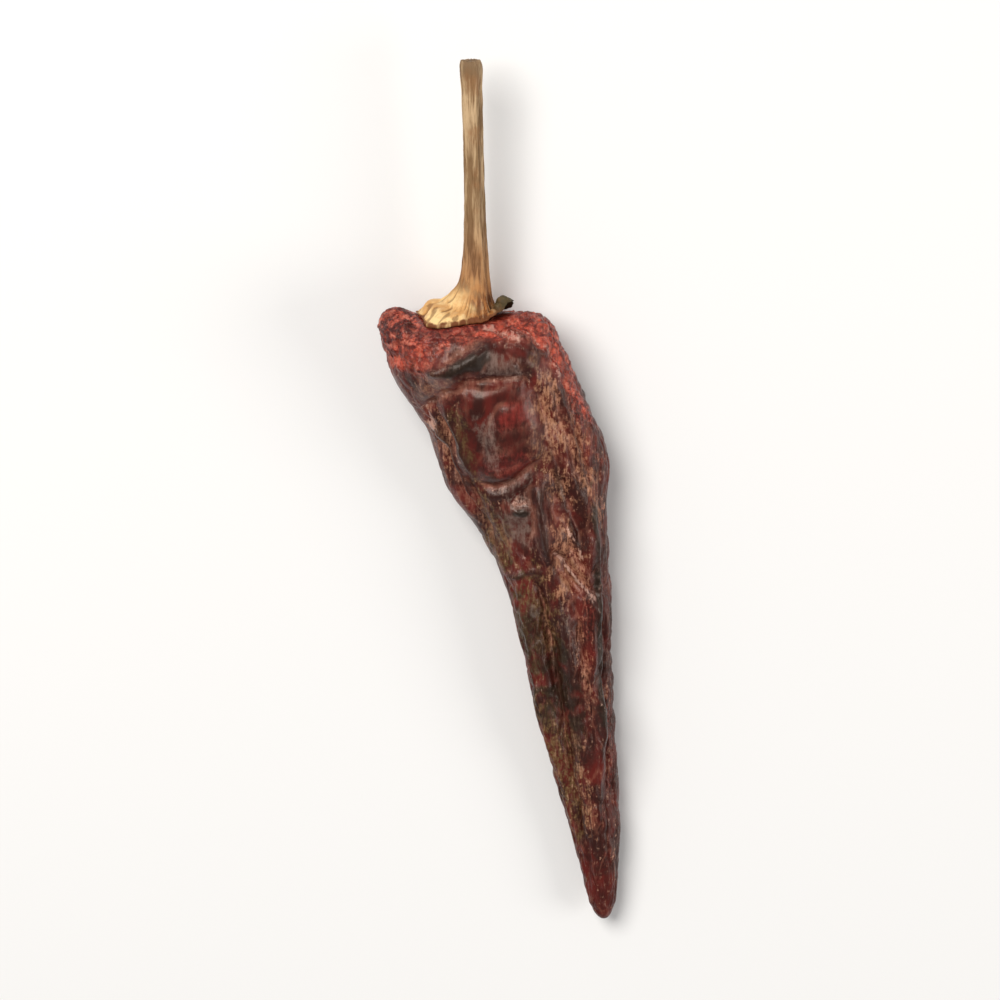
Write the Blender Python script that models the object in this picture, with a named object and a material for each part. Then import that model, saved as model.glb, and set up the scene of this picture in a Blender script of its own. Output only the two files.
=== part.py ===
"""A dried red chilli: a shrivelled, flattened pod with its woody stalk and calyx.

The chilli lies on its back. The stalk runs along +Y, the pod hangs the other way and leans off
towards +X, and the face with the deep folds is up, +Z. The pod rests on a flattened patch at z = 0.

Run it with: blender --background --python part.py
"""

import math
from collections import namedtuple

import bmesh
import bpy
import numpy as np
from mathutils import Vector, noise

MM = 0.001  # every size below is in millimetres

# Driving sizes
POD_LENGTH = 113.0  # from the shoulder's rim to the tip
STALK_LENGTH = 46.5  # from the pod's top to the cut end
STALK_RADIUS = 1.7
CALYX_RADIUS = 7.0
GAP = 0.3  # kept between the calyx and the pod

# Mesh density
POD_AROUND = 68
POD_ALONG = 74
STALK_AROUND = 30
STALK_ALONG = 34

# The pod's middle line, seen from above, as (distance down the pod, x, y)
MIDDLE = [
    (0, -1.7, 0.0),
    (4, -0.2, -4.0),
    (17, 5.8, -16.0),
    (28, 9.6, -27.0),
    (38, 12.6, -36.5),
    (50, 15.3, -48.0),
    (64, 16.9, -62.0),
    (80, 19.4, -78.0),
    (97, 21.9, -94.6),
    (113, 23.4, -110.4),
]

# The pod's cross-section, as (distance down the pod, half width, half depth, height of its back)
SECTION = [
    (0, 16.2, 11.0, 0.2),
    (5, 16.5, 11.2, 0.0),
    (16, 15.2, 9.8, 0.0),
    (27, 14.9, 8.4, 0.1),
    (36, 12.0, 7.6, 0.2),
    (46, 9.9, 6.8, 0.2),
    (62, 8.1, 5.9, 0.1),
    (80, 6.2, 5.0, 0.2),
    (98, 4.4, 3.7, 0.9),
    (108, 2.8, 2.3, 2.2),
    (113, 1.8, 1.4, 3.2),
]
SECTION_POWER = 2.35  # above 2, an ellipse with fuller corners
LEAN_SHARE = 0.6  # how far the sections turn to face along the middle line
LEAN_REACH = (2.0, 34.0)  # the stretch over which they do so
TIP_ROUNDING = 3.5  # length over which the tip closes
TIP_CROWDING = 1.2  # above 1, the rings lie closer towards the tip

# The top of the pod, from its middle out to the widest ring, as (share, scale, rise)
SHOULDER = [
    (0.0, 0.0, 0.0),
    (0.25, 0.3, -0.1),
    (0.5, 0.58, -0.5),
    (0.7, 0.79, -0.9),
    (0.86, 0.93, -1.6),
    (1.0, 1.0, -3.2),
]
SHOULDER_SHARE = 0.15  # of the rings along the pod
SMOOTH_MARGIN = (0.2, 2.8)  # the skin is smooth under the calyx and crumples this far past its edge

# Where the shoulder swells up round the calyx, seen along the stalk: (x, height, half width, half height, rise)
Lobe = namedtuple("Lobe", "x height half_width half_height rise")
LOBES = [Lobe(-14.6, 1.0, 3.8, 6.0, 3.0), Lobe(10.0, 2.0, 4.2, 6.0, 2.0), Lobe(-3.0, -9.0, 9.0, 3.5, 1.2)]
LOBE_REACH = 9.0  # how far down the pod they fade out

# Creases and ridges of the upper face, as seen from the stalk's side of straight above. Each is a line of
# (x, y) points with its height above the skin, negative for a crease, and the half width of its sides.
VIEW_TILT = math.radians(12.0)
Fold = namedtuple("Fold", "line height width")
UPPER_FOLDS = [
    Fold([(-10.2, -17.2), (-6.8, -15.4), (-3.6, -14.4)], 1.2, 1.1),
    Fold([(-3.6, -14.0), (2.0, -12.2), (8.0, -11.4), (11.4, -8.6)], 1.3, 1.3),
    Fold([(8.0, -13.6), (4.0, -17.5), (1.6, -23.5), (0.6, -30.0), (3.6, -35.5)], 1.7, 2.0),
    Fold([(11.4, -9.0), (11.6, -17.5), (12.6, -24.0), (9.6, -30.6), (7.4, -34.4)], 1.9, 1.5),
    Fold([(12.6, -24.0), (16.0, -33.0), (19.4, -43.5), (20.8, -50.5)], 1.3, 1.4),
    Fold([(13.8, -43.0), (17.2, -46.6), (21.0, -50.2)], 1.4, 0.8),
    Fold([(-9.0, -17.6), (-6.4, -23.0), (-2.8, -30.2), (2.0, -38.4), (6.2, -44.6)], 1.4, 1.1),
    Fold([(9.6, -45.5), (12.6, -58.0), (15.2, -72.0), (18.0, -88.0), (20.6, -103.0)], 1.5, 1.5),
    Fold([(22.0, -37.5), (23.6, -49.0), (23.2, -64.0), (24.4, -80.0), (24.9, -95.0)], 1.2, 1.2),
    Fold([(-8.4, -11.8), (-5.6, -10.6), (-2.4, -8.6), (1.4, -6.2)], -2.7, 1.4),
    Fold([(20.4, -36.0), (20.9, -50.0), (20.6, -63.0), (21.9, -78.0), (23.2, -91.0)], -2.4, 1.1),
    Fold([(6.8, -47.8), (9.6, -59.0), (12.4, -73.0), (16.0, -89.0)], -1.7, 1.2),
    Fold([(2.6, -5.2), (7.4, -5.6), (12.0, -8.0)], -1.2, 1.1),
    Fold([(-12.8, -7.6), (-9.4, -8.8), (-6.2, -7.6)], -1.0, 1.0),
]

# Panels of the upper face that have sunk in, as (x, y, half width, half length, lean in degrees, depth),
# with a negative depth for one that stands up
Hollow = namedtuple("Hollow", "x y half_width half_length lean depth")
UPPER_HOLLOWS = [
    Hollow(4.2, -22.6, 6.8, 9.6, 8, 2.3),
    Hollow(4.6, -9.6, 4.6, 2.0, 0, 1.0),
    Hollow(7.8, -38.8, 3.6, 4.0, 0, -1.0),
    Hollow(12.4, -37.6, 1.9, 8.0, 8, 1.5),
    Hollow(17.0, -29.0, 1.8, 7.5, 16, 0.7),
    Hollow(16.8, -60.0, 2.0, 10.0, 7, 1.1),
]

# The same for the back, on which the pod lies
LOWER_FOLDS = [
    Fold([(-9.0, -6.0), (-3.0, -20.0), (4.0, -34.0), (9.0, -50.0), (12.0, -68.0), (16.5, -90.0)], -2.2, 1.5),
    Fold([(9.0, -4.0), (13.0, -18.0), (15.0, -33.0), (19.0, -52.0), (19.6, -70.0), (22.0, -92.0)], -2.4, 1.6),
    Fold([(1.0, -9.0), (5.0, -20.0), (6.0, -31.0)], -1.4, 1.2),
    Fold([(-5.0, -12.0), (2.0, -15.5), (8.0, -14.0)], 1.0, 1.2),
    Fold([(6.0, -38.0), (12.0, -41.0), (17.0, -39.0)], 0.9, 1.1),
]
LOWER_HOLLOWS = [
    Hollow(-4.5, -14.0, 3.0, 5.5, 14, 1.5),
    Hollow(10.0, -25.0, 3.0, 6.0, 12, 1.6),
    Hollow(13.0, -58.0, 2.2, 9.0, 8, 1.0),
]

# Fine crumpling of the skin: sunken cells with raised edges, drawn out along the pod
Crumple = namedtuple("Crumple", "cell stretch depth")
BODY_CRUMPLE = [Crumple(8.5, 1.9, 0.6), Crumple(4.4, 1.7, 0.3)]
RIM_CRUMPLE = Crumple(3.8, 1.0, 0.85)
RIM_REACH = (5.5, 10.5)  # the crumpled rim fades out between these distances down the pod
TAUT_SIDES = 0.55  # share by which all relief is weaker where the skin is drawn round the sides
WANDER = 2.4  # how far the folds and cells stray from their true lines
WANDER_LENGTH = 9.0
WANDER_SEEDS = [Vector((0.0, 0.0, 0.0)), Vector((31.0, 0.0, 0.0))]  # across, and along the pod

# The calyx: a thin cap with five blunt teeth, each as (degrees round from +X towards +Z, reach)
CALYX_TEETH = [(127, 4.0), (172, 3.2), (62, 0.5), (-70, 1.0), (-140, 1.4)]
CALYX_TOOTH_WIDTH = 23.0  # degrees
CALYX_EDGE = 0.9  # thickness of its rim
CALYX_UNDER = 0.2  # share of its rings that face the pod
CALYX_RIM = 0.08  # share of its rings that make the rim

# The stalk above the calyx's rim, as (distance along it from the pod's top, radius)
STALK_OUTLINE = [
    (1.7, 5.9),
    (2.9, 4.3),
    (4.8, 3.3),
    (7.0, 2.7),
    (9.6, 2.35),
    (13.0, 2.05),
    (19.0, 1.82),
    (28.0, 1.68),
    (36.0, STALK_RADIUS),
    (42.0, 1.78),
    (45.2, 1.95),
    (STALK_LENGTH, 1.7),
]
STALK_CUT = 0.05  # share of its rings that close the cut end
STALK_TILT = math.radians(3.0)  # the stalk rises a little from the ground
STALK_LEAN = -0.9  # sideways reach of its cut end
STALK_RIBS = 5
STALK_RIB_HEIGHT = 0.16


def clear_scene():
    for item in list(bpy.data.objects):
        bpy.data.objects.remove(item)


def smooth_step(low, high, value):
    share = np.clip((value - low) / (high - low), 0.0, 1.0)
    return share * share * (3.0 - 2.0 * share)


def along_table(table, column, at):
    """A smooth curve through one column of a table, read at the first column's values `at`."""
    knots = np.array([row[0] for row in table], float)
    values = np.array([row[column] for row in table], float)
    slopes = np.gradient(values, knots)
    i = np.clip(np.searchsorted(knots, at) - 1, 0, len(knots) - 2)
    step = knots[i + 1] - knots[i]
    t = np.clip((at - knots[i]) / step, 0.0, 1.0)
    return (
        (2 * t**3 - 3 * t**2 + 1) * values[i]
        + (t**3 - 2 * t**2 + t) * step * slopes[i]
        + (3 * t**2 - 2 * t**3) * values[i + 1]
        + (t**3 - t**2) * step * slopes[i + 1]
    )


def sphere_mesh(name, around, along):
    """A globe of quads to be reshaped, and each point's (share from pole to pole, angle round it)."""
    shell = bmesh.new()
    bmesh.ops.create_uvsphere(shell, u_segments=around, v_segments=along, radius=1.0)
    mesh = bpy.data.meshes.new(name)
    shell.to_mesh(mesh)
    shell.free()
    points = read_points(mesh)
    share = np.arccos(np.clip(points[:, 2], -1.0, 1.0)) / math.pi
    angle = np.arctan2(points[:, 1], points[:, 0])
    return mesh, share, angle


def read_points(mesh):
    points = np.empty(len(mesh.vertices) * 3, np.float32)
    mesh.vertices.foreach_get("co", points)
    return points.reshape(-1, 3).astype(float)


def write_points(mesh, points):
    mesh.vertices.foreach_set("co", points.astype(np.float32).ravel())
    mesh.update()


def read_normals(mesh):
    normals = np.empty(len(mesh.vertices) * 3, np.float32)
    mesh.vertex_normals.foreach_get("vector", normals)
    return normals.reshape(-1, 3).astype(float)


def lobe_rise(x, height):
    """How far the shoulder swells up round the calyx, beyond its smooth profile."""
    rise = np.zeros(len(x))
    for lobe in LOBES:
        away = ((x - lobe.x) / lobe.half_width) ** 2 + ((height - lobe.height) / lobe.half_height) ** 2
        rise += lobe.rise * np.exp(-away)
    return rise


def pod_body(share, angle):
    """The plump pod before its skin folds: its points, and how far down the pod they are."""
    on_top = np.clip(share / SHOULDER_SHARE, 0.0, 1.0)
    down = np.clip((share - SHOULDER_SHARE) / (1.0 - SHOULDER_SHARE), 0.0, 1.0)
    distance = POD_LENGTH * (1.0 - (1.0 - down) ** TIP_CROWDING)
    scale = along_table(SHOULDER, 1, on_top)
    rise = along_table(SHOULDER, 2, on_top)

    x = along_table(MIDDLE, 1, distance)
    y = along_table(MIDDLE, 2, distance)
    ahead = distance + 0.5
    lean = np.arctan2(along_table(MIDDLE, 1, ahead) - x, y - along_table(MIDDLE, 2, ahead))
    lean = LEAN_SHARE * lean * smooth_step(*LEAN_REACH, distance)
    half_width = along_table(SECTION, 1, distance)
    half_depth = along_table(SECTION, 2, distance)
    back = along_table(SECTION, 3, distance)
    to_tip = np.clip((POD_LENGTH - distance) / TIP_ROUNDING, 0.0, 1.0)
    closing = np.sqrt(1.0 - (1.0 - to_tip) ** 2)

    power = 2.0 / SECTION_POWER
    across = np.sign(np.cos(angle)) * np.abs(np.cos(angle)) ** power * half_width * scale * closing
    upward = np.sign(np.sin(angle)) * np.abs(np.sin(angle)) ** power * half_depth * scale * closing
    to_stalk = (1.0 - scale) * -MIDDLE[0][1]  # the calyx sits off the pod's middle, on the stalk's line
    x = x + to_stalk + across * np.cos(lean)
    rise = rise + lobe_rise(x, upward) * (1.0 - smooth_step(0.0, LOBE_REACH, distance))
    return np.stack([x, y + rise + across * np.sin(lean), back + half_depth + upward], axis=1), distance


def from_line(points, line):
    """Distance of flat points from a broken line, and their share of the way along it."""
    nearest = np.full(len(points), np.inf)
    share = np.zeros(len(points))
    for n, (start, end) in enumerate(zip(line, line[1:])):
        start, end = np.array(start), np.array(end)
        run = end - start
        t = np.clip((points - start) @ run / (run @ run), 0.0, 1.0)
        distance = np.linalg.norm(points - start - t[:, None] * run, axis=1)
        closer = distance < nearest
        nearest = np.where(closer, distance, nearest)
        share = np.where(closer, (n + t) / (len(line) - 1), share)
    return nearest, share


def fold_height(points, folds, hollows):
    """Height of one face's folds and sunken panels at flat points."""
    height = np.zeros(len(points))
    for fold in folds:
        distance, share = from_line(points, fold.line)
        fade = np.clip(0.25 + 4.0 * share * (1.0 - share), 0.0, 1.0)
        side = np.sqrt(distance**2 + 0.3**2) - 0.3
        height += fold.height * fade * np.exp(-side / fold.width)
    for hollow in hollows:
        lean = math.radians(hollow.lean)
        across = (points[:, 0] - hollow.x) * math.cos(lean) + (points[:, 1] - hollow.y) * math.sin(lean)
        along = (points[:, 1] - hollow.y) * math.cos(lean) - (points[:, 0] - hollow.x) * math.sin(lean)
        away = np.sqrt((across / hollow.half_width) ** 2 + (along / hollow.half_length) ** 2)
        height -= hollow.depth * (1.0 - smooth_step(0.15, 1.25, away))
    return height


def crumple_height(point, crumple, seed):
    """Sunken cells between raised edges, at one point of the skin."""
    cell = Vector((point[0], point[1] / crumple.stretch, point[2])) / crumple.cell
    near, second = noise.voronoi(cell + Vector((seed, 0.0, 0.0)))[0][:2]
    return crumple.depth * (min(near, 0.9) ** 2 * 1.6 - 0.35 * min(second - near, 0.8))


def wander(points):
    """Points strayed a little, so that no fold runs dead straight."""
    strayed = points.copy()
    for n, point in enumerate(points):
        at = Vector(point) / WANDER_LENGTH
        strayed[n, :2] += [WANDER * noise.noise(at + seed) for seed in WANDER_SEEDS]
    return strayed


def skin_relief(points, angle, distance):
    """How far the dried skin lies above the plump pod, point by point."""
    strayed = wander(points)
    flat = strayed[:, :2]
    above_axis = points[:, 2] - SECTION[0][3] - SECTION[0][2]
    seen_y = points[:, 1] * math.cos(VIEW_TILT) - above_axis * math.sin(VIEW_TILT)
    seen = np.stack([flat[:, 0], seen_y + flat[:, 1] - points[:, 1]], axis=1)
    upper = smooth_step(-0.15, 0.35, np.sin(angle))
    relief = upper * fold_height(seen, UPPER_FOLDS, UPPER_HOLLOWS)
    relief += (1.0 - upper) * fold_height(flat, LOWER_FOLDS, LOWER_HOLLOWS)

    rim = 1.0 - smooth_step(*RIM_REACH, distance)
    thin = 0.35 + 0.65 * smooth_step(POD_LENGTH, POD_LENGTH * 0.55, distance)
    for n, point in enumerate(strayed):
        body = sum(crumple_height(point, c, 7.0 * k) for k, c in enumerate(BODY_CRUMPLE))
        crimp = crumple_height(point, RIM_CRUMPLE, 3.0)
        relief[n] += (1.0 - 0.5 * rim[n]) * body * thin[n] + rim[n] * crimp

    taut = 1.0 - TAUT_SIDES * smooth_step(0.8, 0.99, np.abs(np.cos(angle)))
    near_tip = smooth_step(0.0, TIP_ROUNDING, POD_LENGTH - distance)
    return relief * taut * near_tip


def make_pod(material):
    """The hollow fruit, flattened and wrinkled as it dried, here one closed solid."""
    mesh, share, angle = sphere_mesh("pod", POD_AROUND, POD_ALONG)
    points, distance = pod_body(share, angle)
    write_points(mesh, points)
    relief = skin_relief(points, angle, distance) * clear_of_calyx(points, distance)
    points = points + read_normals(mesh) * relief[:, None]
    points[:, 2] = np.maximum(points[:, 2], 0.0)
    write_points(mesh, points)
    return finish("pod", mesh, material)


def calyx_edge(angle):
    """Radius of the calyx's toothed rim at an angle round the stalk."""
    edge = np.full(len(angle), CALYX_RADIUS)
    for at, reach in CALYX_TEETH:
        off = np.angle(np.exp(1j * (angle - math.radians(at))))
        edge += reach * np.exp(-((off / math.radians(CALYX_TOOTH_WIDTH)) ** 2))
    return edge


def clear_of_calyx(points, distance):
    """0 where the calyx covers the pod's skin, and 1 clear of it."""
    height = points[:, 2] - SECTION[0][3] - SECTION[0][2]
    reach = np.hypot(points[:, 0], height) - calyx_edge(np.arctan2(height, points[:, 0]))
    return np.maximum(smooth_step(*SMOOTH_MARGIN, reach), smooth_step(*SMOOTH_MARGIN, distance))


def shoulder_rise(x, height):
    """Height of the pod's smooth top beside the stalk's line, its lobes included."""
    half_width, half_depth = SECTION[0][1:3]
    scale = np.zeros(len(x))
    for _ in range(12):
        across = np.abs(x - MIDDLE[0][1] * scale) / half_width
        upward = np.abs(height) / half_depth
        scale = (across**SECTION_POWER + upward**SECTION_POWER) ** (1.0 / SECTION_POWER)
    steps = np.linspace(0.0, 1.0, 60)
    profile = np.interp(scale, along_table(SHOULDER, 1, steps), along_table(SHOULDER, 2, steps))
    return profile + lobe_rise(x, height)


def make_stalk(material):
    """The calyx, a thin lobed cap on the pod's shoulder, and the stalk that it narrows into."""
    mesh, share, angle = sphere_mesh("stalk", STALK_AROUND, STALK_ALONG)
    under = np.clip(share / CALYX_UNDER, 0.0, 1.0)
    over = np.clip((share - CALYX_UNDER) / (1.0 - CALYX_UNDER), 0.0, 1.0)

    outline = [
        (CALYX_RIM + (1.0 - CALYX_RIM - STALK_CUT) * n / (len(STALK_OUTLINE) - 1), *row)
        for n, row in enumerate(STALK_OUTLINE)
    ]
    narrowing = np.maximum(over, CALYX_RIM)
    radius = along_table(outline, 2, narrowing)
    length = along_table(outline, 1, narrowing)
    ribs = STALK_RIB_HEIGHT * np.cos(STALK_RIBS * angle + 0.6) * smooth_step(0.0, 3.0, length)
    cut = smooth_step(1.0, 1.0 - STALK_CUT, over)
    radius = np.where(over > CALYX_RIM, (radius + ribs) * cut, radius)

    rim = np.clip(over / CALYX_RIM, 0.0, 1.0)
    edge = calyx_edge(angle)
    radius = np.where(over < CALYX_RIM, edge + (radius - edge) * rim**2, radius)
    radius = np.where(share < CALYX_UNDER, under * edge, radius)

    x, height = radius * np.cos(angle), radius * np.sin(angle)
    seat = shoulder_rise(x, height) + GAP
    top = np.maximum(length, seat + CALYX_EDGE)
    y = np.where(over < CALYX_RIM, seat + (top - seat) * np.sqrt(rim), top)
    y = np.where(share < CALYX_UNDER, seat, y)
    up = np.maximum(y, 0.0)
    x = x + STALK_LEAN * (up / STALK_LENGTH) ** 1.5
    z = SECTION[0][3] + SECTION[0][2] + height + up * math.tan(STALK_TILT)
    write_points(mesh, np.stack([x, y, z], axis=1))
    return finish("stalk", mesh, material)


def finish(name, mesh, material):
    """Turns the faces outward, shades them smooth and adds the object to the scene."""
    shell = bmesh.new()
    shell.from_mesh(mesh)
    bmesh.ops.recalc_face_normals(shell, faces=shell.faces[:])
    shell.to_mesh(mesh)
    shell.free()
    mesh.shade_smooth()
    mesh.materials.append(material)
    item = bpy.data.objects.new(name, mesh)
    bpy.context.scene.collection.objects.link(item)
    return item


def make_material(name, colour, roughness):
    material = bpy.data.materials.new(name)
    material.use_nodes = True
    shader = material.node_tree.nodes["Principled BSDF"]
    shader.inputs["Base Color"].default_value = (*colour, 1.0)
    shader.inputs["Roughness"].default_value = roughness
    return material


def stand_on_origin(items):
    """Brings the shapes from millimetres to metres, with the middle of their base at the origin."""
    outline = np.concatenate([read_points(item.data) for item in items])
    low, high = outline.min(axis=0), outline.max(axis=0)
    base = np.array([(low[0] + high[0]) / 2.0, (low[1] + high[1]) / 2.0, low[2]])
    for item in items:
        write_points(item.data, (read_points(item.data) - base) * MM)


clear_scene()
pod = make_pod(make_material("dried_skin", (0.13, 0.03, 0.02), 0.35))
stalk = make_stalk(make_material("dry_stalk", (0.48, 0.32, 0.17), 0.7))
stand_on_origin([pod, stalk])
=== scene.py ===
"""A dried red chilli on its back: the skin of its pod, its calyx and its stalk, as they look close to.

The pod and the stalk are shaped in millimetres about the stalk's line, with y = 0 at the top of the pod,
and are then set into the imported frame.
"""

import math
from collections import namedtuple

import bmesh
import bpy
import numpy as np
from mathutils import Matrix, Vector, noise


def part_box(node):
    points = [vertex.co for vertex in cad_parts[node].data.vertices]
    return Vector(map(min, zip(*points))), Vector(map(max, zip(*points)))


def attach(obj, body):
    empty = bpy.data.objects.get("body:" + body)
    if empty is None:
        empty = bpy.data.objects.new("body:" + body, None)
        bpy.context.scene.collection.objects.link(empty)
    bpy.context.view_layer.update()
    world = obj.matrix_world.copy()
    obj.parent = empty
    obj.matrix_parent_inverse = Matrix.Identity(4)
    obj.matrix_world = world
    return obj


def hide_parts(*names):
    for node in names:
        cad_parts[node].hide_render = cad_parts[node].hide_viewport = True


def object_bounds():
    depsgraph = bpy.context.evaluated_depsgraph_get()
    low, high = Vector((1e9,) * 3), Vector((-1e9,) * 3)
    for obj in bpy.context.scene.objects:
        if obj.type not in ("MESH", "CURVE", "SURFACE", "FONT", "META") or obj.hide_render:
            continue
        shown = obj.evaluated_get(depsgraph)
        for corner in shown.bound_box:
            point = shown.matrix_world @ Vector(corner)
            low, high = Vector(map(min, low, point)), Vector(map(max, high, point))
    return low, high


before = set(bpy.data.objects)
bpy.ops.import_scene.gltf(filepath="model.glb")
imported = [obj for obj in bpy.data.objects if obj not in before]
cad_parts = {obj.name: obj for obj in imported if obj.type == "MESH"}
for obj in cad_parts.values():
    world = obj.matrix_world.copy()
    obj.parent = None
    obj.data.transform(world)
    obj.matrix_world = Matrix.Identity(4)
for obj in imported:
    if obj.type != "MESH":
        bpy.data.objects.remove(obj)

cad_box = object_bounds()

# Pod
# The fruit of the chilli: a thin leathery skin, hollow when fresh, which shrank and folded as it dried.
# The face that is up has sunk between its ridges, and the shoulder round the calyx has crumpled.
MM = 0.001
POD_AROUND = 300
POD_ALONG = 330
POD_LENGTH = 113.0
STALK_LENGTH = 46.5

MIDDLE = [  # distance down the pod, x, y
    (0, -1.7, 0.0),
    (4, -0.2, -4.0),
    (17, 5.8, -16.0),
    (28, 9.6, -27.0),
    (38, 12.6, -36.5),
    (50, 15.3, -48.0),
    (64, 16.9, -62.0),
    (80, 19.4, -78.0),
    (97, 21.9, -94.6),
    (113, 23.4, -110.4),
]
SECTION = [  # distance down the pod, half width, half depth, height of its back
    (0, 16.2, 11.0, 0.2),
    (5, 16.5, 11.2, 0.0),
    (16, 15.2, 9.8, 0.0),
    (27, 14.9, 8.4, 0.1),
    (36, 12.0, 7.6, 0.2),
    (46, 9.9, 6.8, 0.2),
    (62, 8.1, 5.9, 0.1),
    (80, 6.2, 5.0, 0.2),
    (98, 4.4, 3.7, 0.9),
    (108, 2.8, 2.3, 2.2),
    (113, 1.8, 1.4, 3.2),
]
SHOULDER = [  # share of the way out from the stalk, scale of the section, rise
    (0.0, 0.0, 0.0),
    (0.25, 0.3, -0.1),
    (0.5, 0.58, -0.5),
    (0.7, 0.79, -0.9),
    (0.86, 0.93, -1.6),
    (1.0, 1.0, -3.2),
]
SHOULDER_SHARE = 0.15
Lobe = namedtuple("Lobe", "x height half_width half_height rise")
LOBES = [Lobe(-14.6, 1.0, 3.8, 6.0, 3.0), Lobe(10.0, 2.0, 4.2, 6.0, 2.0), Lobe(-3.0, -9.0, 9.0, 3.5, 1.2)]
LOBE_REACH = 9.0
SECTION_POWER = 2.35
LEAN_SHARE = 0.6
LEAN_REACH = (2.0, 34.0)
TIP_ROUNDING = 3.5
TIP_CROWDING = 1.2

Fold = namedtuple("Fold", "line height width")
UPPER_FOLDS = [
    Fold([(-10.2, -17.2), (-6.8, -15.4), (-3.6, -14.4)], 1.2, 1.1),
    Fold([(-3.6, -14.0), (1.0, -12.6), (6.6, -12.2), (11.0, -10.4)], 1.0, 1.5),
    Fold([(8.6, -13.8), (4.2, -16.4), (1.8, -21.0), (0.8, -26.0), (-0.6, -30.6)], 1.2, 2.0),
    Fold([(-1.2, -30.6), (3.0, -31.4), (7.6, -29.6), (11.6, -25.4)], 1.2, 1.3),
    Fold([(10.2, -12.0), (12.6, -17.0), (15.6, -25.0), (18.8, -36.0)], 0.6, 2.6),
    Fold([(12.6, -24.0), (16.0, -33.0), (19.4, -43.5), (20.8, -50.5)], 1.3, 1.4),
    Fold([(13.8, -43.0), (17.2, -46.6), (21.0, -50.2)], 1.4, 0.8),
    Fold([(-9.0, -17.6), (-6.4, -23.0), (-2.8, -30.2), (2.0, -38.4), (6.2, -44.6)], 1.4, 1.1),
    Fold([(9.6, -45.5), (12.6, -58.0), (15.2, -72.0), (18.0, -88.0), (20.6, -103.0)], 1.5, 1.5),
    Fold([(22.0, -37.5), (23.6, -49.0), (23.2, -64.0), (24.4, -80.0), (24.9, -95.0)], 1.2, 1.2),
    Fold([(-8.4, -11.8), (-5.6, -10.8), (-2.0, -9.0), (1.2, -6.6)], -2.0, 1.4),
    Fold([(20.4, -36.0), (20.9, -50.0), (20.6, -63.0), (21.9, -78.0), (23.2, -91.0)], -2.4, 1.1),
    Fold([(6.8, -47.8), (9.6, -59.0), (12.4, -73.0), (16.0, -89.0)], -1.7, 1.2),
    Fold([(2.6, -4.9), (7.4, -5.2), (12.0, -7.8)], -0.6, 0.8),
    Fold([(-12.8, -7.6), (-9.4, -8.8), (-6.2, -7.6)], -1.0, 1.0),
]
Hollow = namedtuple("Hollow", "x y half_width half_length lean depth")
UPPER_HOLLOWS = [
    Hollow(4.8, -22.6, 8.0, 10.0, 8, 1.7),
    Hollow(5.4, -9.0, 5.0, 2.6, -6, 0.5),
    Hollow(7.8, -38.8, 3.6, 4.0, 0, -1.0),
    Hollow(12.4, -37.6, 1.9, 8.0, 8, 1.5),
    Hollow(17.0, -29.0, 1.8, 7.5, 16, 0.7),
    Hollow(16.8, -60.0, 2.0, 10.0, 7, 1.1),
]
SMOOTH_PANELS = [
    Hollow(4.6, -21.6, 7.4, 10.2, 8, 1.0),
    Hollow(5.2, -8.8, 5.6, 3.0, -6, 1.0),
    Hollow(-6.6, -13.4, 4.6, 3.0, 20, 1.0),
    Hollow(7.4, -38.6, 3.6, 4.6, 0, 1.0),
]
PANEL_EDGE = (0.7, 1.2)
LOWER_FOLDS = [
    Fold([(-9.0, -6.0), (-3.0, -20.0), (4.0, -34.0), (9.0, -50.0), (12.0, -68.0), (16.5, -90.0)], -2.2, 1.5),
    Fold([(9.0, -4.0), (13.0, -18.0), (15.0, -33.0), (19.0, -52.0), (19.6, -70.0), (22.0, -92.0)], -2.4, 1.6),
    Fold([(1.0, -9.0), (5.0, -20.0), (6.0, -31.0)], -1.4, 1.2),
    Fold([(-5.0, -12.0), (2.0, -15.5), (8.0, -14.0)], 1.0, 1.2),
    Fold([(6.0, -38.0), (12.0, -41.0), (17.0, -39.0)], 0.9, 1.1),
]
LOWER_HOLLOWS = [
    Hollow(-4.5, -14.0, 3.0, 5.5, 14, 1.5),
    Hollow(10.0, -25.0, 3.0, 6.0, 12, 1.6),
    Hollow(13.0, -58.0, 2.2, 9.0, 8, 1.0),
]
UPPER_FACE = (-0.15, 0.35)
FOLD_AT_ENDS = 0.25
FOLD_ROUNDING = 0.3
HOLLOW_EDGE = (0.15, 1.25)

Crumple = namedtuple("Crumple", "cell stretch depth")
BODY_CRUMPLE = [Crumple(8.5, 1.9, 0.6), Crumple(4.4, 1.7, 0.3)]
RIM_CRUMPLE = Crumple(3.8, 1.0, 0.85)
RIM_REACH = (5.5, 10.5)
RIM_FADE = (-1.0, 1.2)
RIM_RAGGED = 1.6
RIM_RAGGED_LENGTH = 3.6
RELIEF_AT_TIP = 0.35
THINS_FROM = 0.55
TAUT_SIDES = 0.55
TAUT_FROM = (0.8, 0.99)
CREST_LIMIT = (22.6, 24.9)
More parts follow.
